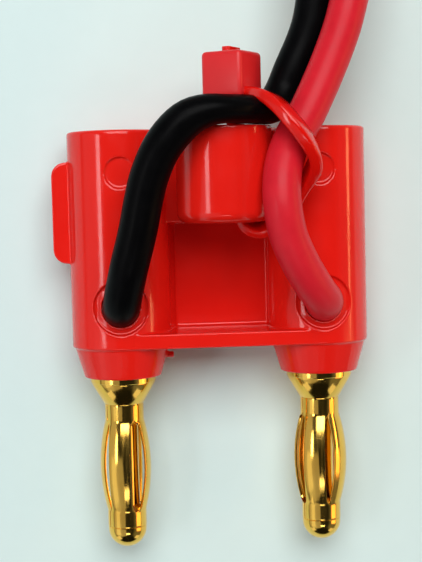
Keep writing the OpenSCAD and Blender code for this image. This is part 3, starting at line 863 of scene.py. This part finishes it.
class PLUG_OT_springs(bpy.types.Operator):
    """Rolls the two contact springs: end bands with a seam, and four bowed leaves"""

    bl_idname = "banana_plug.springs"
    bl_label = "Contact Springs"

    columns = 18
    rows = 72
    # degrees by which each sleeve is turned, and by which use has bent a leaf aside, by pin and quarter
    turned = {"negative": -16, "positive": -23}
    bent = {("negative", 1): 5, ("negative", 3): 22, ("positive", 1): -17, ("positive", 3): -13}
    # half the angle of a quarter, and the least half angle of a row that belongs to a band
    full_half = math.pi / 4
    band_half = 0.78
    # the quarters that meet at the seam, with the edge of each that does, and where the grid's edge begins
    seam_edges = {0: -1, 3: 1}
    edge_place = 0.999
    # the merge of doubles, and the rounding of edges that are sharper than an angle
    weld = 0.01 * MM
    edge_round = 0.05 * MM
    edge_angle = math.radians(55)

    def execute(self, context):
        s = sizes()
        for side, bow in (("negative", s.negative_bow), ("positive", s.positive_bow)):
            x, quarters = SIDES[side], []
            for k in range(4):
                angle = math.radians(self.turned[side] + 90 * k)
                aside = math.radians(self.bent.get((side, k), 0))
                quarters.append(self.quarter(x, bow, angle, k, aside))
            activate(quarters[0])
            for quarter in quarters:
                quarter.select_set(True)
            bpy.ops.object.join()
            spring = context.object
            recalculate(spring, merge=self.weld)
            self.face_outwards(spring, x)
            apply_modifier(spring, "SOLIDIFY", thickness=s.sheet_t, offset=-1, use_even_offset=True)
            apply_modifier(spring, "BEVEL", width=self.edge_round, segments=2, limit_method="ANGLE",
                           angle_limit=self.edge_angle)
            smooth(spring, degrees=45)
            dress(spring, f"{side}_spring_sleeve", finish("worn_gold_plate"),
                  "gold_plated_brass", f"{side}_spring")
        return {"FINISHED"}

    def leaf_half(self, radius):
        return math.asin(sizes().leaf_w / 2 / radius)

    def half_angle(self, y, radius):
        """Half the angle that a quarter of the sleeve spans at a level: all of it in the bands, the
        leaf's width between them, with round window ends."""
        low, high = leaf_ends()
        if y <= low or y >= high:
            return self.full_half
        leaf = self.leaf_half(radius)
        window = (self.full_half - leaf) * radius
        inside = min(y - low, high - y)
        if inside < window:
            leaf += (self.full_half - leaf) * (1 - math.sqrt(1 - (1 - inside / window) ** 2))
        return leaf

    def quarter(self, x, bow, angle, index, aside):
        """A flat grid rolled into one band-leaf-band strip, its leaf turned aside by an angle."""
        s = sizes()
        start_fresh()
        bpy.ops.mesh.primitive_grid_add(x_subdivisions=self.columns, y_subdivisions=self.rows, size=2)
        strip = bpy.context.object
        edge = self.seam_edges.get(index)
        for vertex in strip.data.vertices:
            across, along = vertex.co.x, (vertex.co.y + 1) / 2
            y = SPRING_LOW + (SPRING_HIGH - SPRING_LOW) * along
            share = share_of(y, *leaf_ends())
            radius = s.band_r + 4 * bow * share * (1 - share)
            half = self.half_angle(y, radius)
            free = (self.full_half - half) / (self.full_half - self.leaf_half(radius))
            turn = angle + across * half + aside * free
            if edge and across * edge > self.edge_place and half > self.band_half:
                turn -= edge * s.seam / 2 / radius
            vertex.co = (x + radius * math.sin(turn), y, AXIS_Z + radius * math.cos(turn))
        return strip

    def face_outwards(self, spring, x):
        """An open sheet has no inside, so its faces are turned by their place."""
        face = spring.data.polygons[0]
        if face.normal.dot(face.center - Vector((x, face.center.y, AXIS_Z))) < 0:
            spring.data.flip_normals()


class PLUG_OT_cable_tie(bpy.types.Operator):
    """Threads the cable tie through its guide and round both leads"""

    bl_idname = "banana_plug.cable_tie"
    bl_label = "Cable Tie"

    ring_step = 0.25 * MM
    corner = 0.22 * MM
    # the share by which the strap is thicker in its open loop: none at the first level, all at the second
    loop_swell = 0.4
    loop_levels = (12.0 * MM, 13.6 * MM)

    def strap_outline(self):
        """Rounded oblong section of the strap."""
        s, corner = sizes(), self.corner
        points = []
        for cx, cy, first in ((1, 1, 0), (-1, 1, 90), (-1, -1, 180), (1, -1, 270)):
            for a in (0, 30, 60, 90):
                turn = math.radians(first + a)
                points.append((cx * (s.strap_w / 2 - corner) + corner * math.cos(turn),
                               cy * (s.strap_t / 2 - corner) + corner * math.sin(turn)))
        return points

    def head(self):
        """The head: a rounded block, turned to the strap that runs through it."""
        s = sizes()
        start_fresh()
        bpy.ops.mesh.primitive_cube_add(size=1)
        head = bpy.context.object
        head.scale = (s.head_l, s.head_h, s.head_w)
        bpy.ops.object.transform_apply(location=False, rotation=False, scale=True)
        apply_modifier(head, "BEVEL", width=s.head_round, segments=4, limit_method="ANGLE")
        head.data.transform(Matrix.Translation(HEAD_MID) @ Matrix.Rotation(HEAD_TURN, 4, "Y"))
        return head

    def execute(self, context):
        points = spline_points([tuple(c * MM for c in p) for p in STRAP_ROUTE], self.ring_step)
        swell = [1 + self.loop_swell * share_of(p[2], *self.loop_levels) for p in points]
        strap = swept("strap", [Vector(p) for p in points], self.strap_outline(), STRAP_ACROSS, thicken=swell)
        strap.data.materials.append(finish("drawn_nylon"))
        head = self.head()
        head.data.materials.append(finish("moulded_nylon"))
        activate(strap)
        head.select_set(True)
        bpy.ops.object.join()
        tie = context.object
        smooth(tie, degrees=40)
        dress(tie, "cable_tie_moulding", None, "red_nylon", "cable_tie")
        return {"FINISHED"}


class PLUG_OT_clamps(bpy.types.Operator):
    """Finishes the clamp screws and conductors inside the contacts"""

    bl_idname = "banana_plug.clamps"
    bl_label = "Wire Clamps"

    def execute(self, context):
        finishes = {"clamp_screw": "blackened_steel", "conductor": "tinned_wire"}
        for side in SIDES:
            for piece, material in finishes.items():
                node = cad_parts[f"{side}_{piece}"]
                node.data.materials.clear()
                node.data.materials.append(finish(material))
        return {"FINISHED"}


OPERATORS = (PLUG_OT_stage, PLUG_OT_coil_band, PLUG_OT_leads, PLUG_OT_housing, PLUG_OT_contacts,
             PLUG_OT_springs, PLUG_OT_cable_tie, PLUG_OT_clamps)


class PLUG_PT_panel(bpy.types.Panel):
    """Lists the sizes, the colours and the pieces"""

    bl_idname = "PLUG_PT_panel"
    bl_label = "Dual Banana Plug"
    bl_space_type = "VIEW_3D"
    bl_region_type = "UI"
    bl_category = "Banana Plug"

    def draw(self, context):
        for group in (context.scene.plug_sizes, context.scene.plug_colours):
            column = self.layout.column()
            for name in group.__annotations__:
                column.prop(group, name)
        for operator in OPERATORS:
            self.layout.operator(operator.bl_idname)


CLASSES = (PlugSizes, PlugColours, *OPERATORS, PLUG_PT_panel)


def register():
    for cls in CLASSES:
        bpy.utils.register_class(cls)
    bpy.types.Scene.plug_sizes = bpy.props.PointerProperty(type=PlugSizes)
    bpy.types.Scene.plug_colours = bpy.props.PointerProperty(type=PlugColours)


def unregister():
    del bpy.types.Scene.plug_sizes
    del bpy.types.Scene.plug_colours
    for cls in reversed(CLASSES):
        bpy.utils.unregister_class(cls)


def main():
    register()
    bpy.ops.banana_plug.stage()
    bpy.ops.banana_plug.coil_band()
    bpy.ops.banana_plug.leads()
    bpy.ops.banana_plug.housing()
    bpy.ops.banana_plug.contacts()
    bpy.ops.banana_plug.springs()
    bpy.ops.banana_plug.cable_tie()
    bpy.ops.banana_plug.clamps()


if __name__ == "__main__":
    main()
